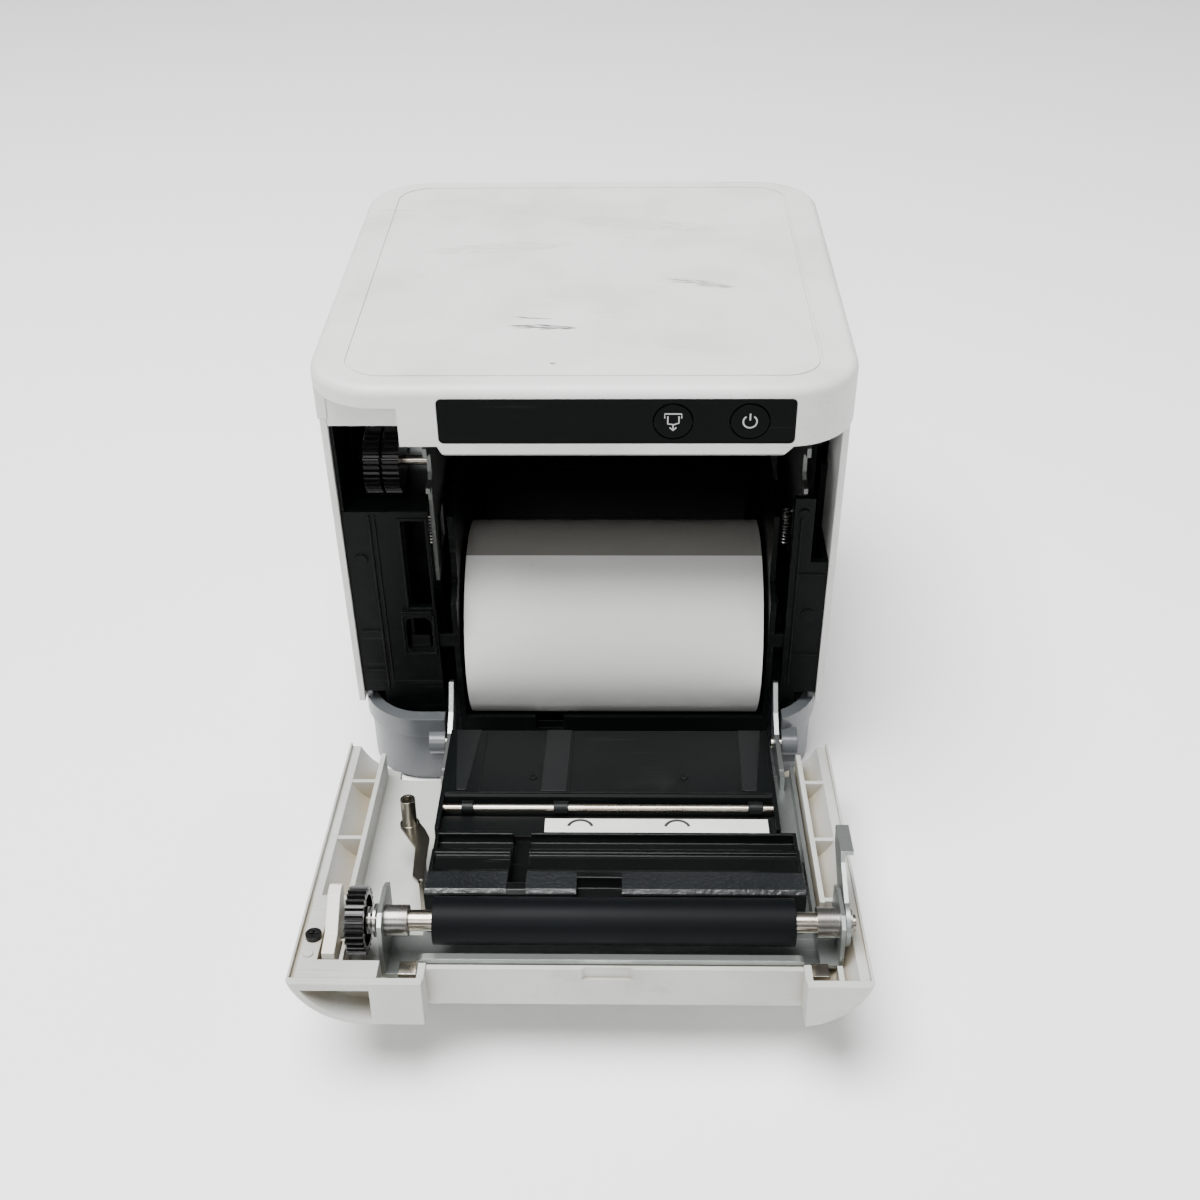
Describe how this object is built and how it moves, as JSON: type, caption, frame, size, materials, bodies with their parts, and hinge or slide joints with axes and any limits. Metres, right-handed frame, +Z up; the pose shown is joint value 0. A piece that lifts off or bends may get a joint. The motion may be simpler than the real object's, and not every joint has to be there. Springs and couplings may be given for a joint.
{
  "type": "receipt printer",
  "caption": "Compact cube-shaped desktop printer for paper rolls, with a hinged front cover that carries the platen, a roll bay, a cutter and a two-button panel.",
  "frame": {"origin": "on the table, under the centre of the case", "axes": "+X to the printer's right as seen from the front, +Y to the back, +Z up"},
  "size_m": [0.127, 0.2164, 0.127],
  "materials": {
    "case_plastic": "fine-textured warm white plastic",
    "cover_plastic": "fine-textured warm white plastic, yellowed inside",
    "base_plastic": "smoky grey plastic",
    "panel_black": "glossy black lens",
    "button_black": "glossy black buttons",
    "frame_plastic": "greenish-black plastic",
    "tray_plastic": "greenish-black plastic",
    "guide_plastic": "black plastic polished by paper",
    "roll_paper": "thermal paper",
    "core_card": "grey-brown card",
    "platen_black": "fine-ground rubber",
    "feet_black": "moulded rubber",
    "gear_black": "black acetal",
    "gear_white": "natural acetal",
    "lever_white": "white acetal",
    "bushing_steel": "turned dark steel",
    "zinc_sheet": "zinc-plated sheet steel",
    "bright_steel": "ground steel",
    "nickel": "nickel plate",
    "sink_aluminium": "extruded aluminium",
    "head_ceramic": "glazed alumina",
    "blade_steel": "hardened steel",
    "motor_steel": "plated motor can",
    "board_green": "solder-masked circuit board",
    "label_white": "printed label",
    "screw_black": "black-oxide screw",
    "collar_yellow": "aged natural plastic"
  },
  "bodies": {
    "case": {"base_tray": "base_plastic", "rubber_feet": "feet_black", "hinge_pins": "nickel", "side_shell": "case_plastic", "top_cover": "case_plastic", "control_panel": "panel_black", "button_board": "board_green", "main_frame": "frame_plastic", "left_block": "frame_plastic", "right_panel": "frame_plastic", "frame_plate_left": "zinc_sheet", "frame_plate_right": "zinc_sheet", "mechanism_bridge": "zinc_sheet", "spring_plate": "zinc_sheet", "head_springs": "bright_steel", "head_shaft": "bright_steel", "cutter_frame": "frame_plastic", "cutter_motor": "motor_steel", "feed_motor": "motor_steel", "motor_bracket": "zinc_sheet", "gear_studs": "bright_steel", "main_board": "board_green", "connector_panel": "frame_plastic", "case_screws": "screw_black", "power_inlet": "frame_plastic", "usb_socket": "nickel", "lan_socket": "nickel", "drawer_socket": "frame_plastic"},
    "print_head": {"thermal_head": "head_ceramic", "heat_sink": "sink_aluminium"},
    "cutter_blade": {"cutter_blade": "blade_steel"},
    "feed_button": {"feed_button": "button_black"},
    "power_button": {"power_button": "button_black"},
    "paper_roll": {"paper_roll": "roll_paper", "paper_core": "core_card"},
    "idler_gear": {"idler_gear": "gear_white"},
    "second_gear": {"second_gear": "gear_white"},
    "motor_pinion": {"motor_pinion": "nickel", "motor_shaft": "bright_steel"},
    "front_cover": {"cover_shell": "cover_plastic", "cover_screw": "screw_black", "release_pin": "bright_steel", "cover_chassis": "zinc_sheet", "platen_bushings": "bushing_steel", "guide_blocks": "nickel", "inner_tray": "tray_plastic", "guide_label": "label_white", "paper_guide": "guide_plastic", "hinge_arm_left": "zinc_sheet", "hinge_arm_right": "zinc_sheet", "interlock_stud": "nickel"},
    "platen": {"platen_shaft": "bright_steel", "platen_rubber": "platen_black", "platen_gear": "gear_black", "platen_clips": "bright_steel"},
    "guide_shaft": {"guide_shaft": "bright_steel", "shaft_collars": "collar_yellow"},
    "lock_lever": {"lock_lever": "zinc_sheet"},
    "release_lever": {"release_lever": "lever_white"}
  },
  "joints": [
    {"name": "cover_hinge", "type": "hinge", "parent": "case", "child": "front_cover", "pos_m": [0, -0.0575, 0.016], "axis": [1, 0, 0], "range_deg": [-84.2, 0]},
    {"name": "platen_spin", "type": "hinge", "parent": "front_cover", "child": "platen", "pos_m": [0, -0.13558, 0.03398], "axis": [1, 0, 0], "continuous": true},
    {"name": "guide_shaft_spin", "type": "hinge", "parent": "front_cover", "child": "guide_shaft", "pos_m": [0, -0.0914, 0.02467], "axis": [1, 0, 0], "continuous": true},
    {"name": "lock_lever_pivot", "type": "hinge", "parent": "front_cover", "child": "lock_lever", "pos_m": [0, -0.13558, 0.03398], "axis": [1, 0, 0], "range_deg": [-8, 0], "stiffness_Nm_per_rad": 0.02, "springref_deg": 8.59},
    {"name": "release_lever_pivot", "type": "hinge", "parent": "front_cover", "child": "release_lever", "pos_m": [0, -0.13578, 0.02707], "axis": [1, 0, 0], "range_deg": [0, 6], "stiffness_Nm_per_rad": 0.01, "springref_deg": -8.59},
    {"name": "roll_spin", "type": "hinge", "parent": "case", "child": "paper_roll", "pos_m": [0, -0.0223, 0.0325], "axis": [1, 0, 0], "continuous": true},
    {"name": "idler_spin", "type": "hinge", "parent": "case", "child": "idler_gear", "pos_m": [0, -0.03329, 0.09033], "axis": [1, 0, 0], "continuous": true},
    {"name": "second_spin", "type": "hinge", "parent": "case", "child": "second_gear", "pos_m": [0, -0.0172, 0.08447], "axis": [1, 0, 0], "continuous": true},
    {"name": "motor_spin", "type": "hinge", "parent": "case", "child": "motor_pinion", "pos_m": [0, -0.00671, 0.07841], "axis": [1, 0, 0], "continuous": true},
    {"name": "head_pivot", "type": "hinge", "parent": "case", "child": "print_head", "pos_m": [0, -0.033, 0.1046], "axis": [1, 0, 0], "range_deg": [-2, 0], "stiffness_Nm_per_rad": 2, "springref_deg": 2.86},
    {"name": "cutter_slide", "type": "slide", "parent": "case", "child": "cutter_blade", "axis": [0, 0, -1], "range_m": [0, 0.004]},
    {"name": "feed_button_press", "type": "slide", "parent": "case", "child": "feed_button", "axis": [0, 1, 0], "range_m": [0, 0.0006], "stiffness_N_per_m": 1500, "springref_m": -0.0003},
    {"name": "power_button_press", "type": "slide", "parent": "case", "child": "power_button", "axis": [0, 1, 0], "range_m": [0, 0.0006], "stiffness_N_per_m": 1500, "springref_m": -0.0003}
  ],
  "couplings": [
    {"joint": "second_spin", "follows": "idler_spin", "ratio": -0.88889},
    {"joint": "motor_spin", "follows": "idler_spin", "ratio": 2.6667}
  ]
}
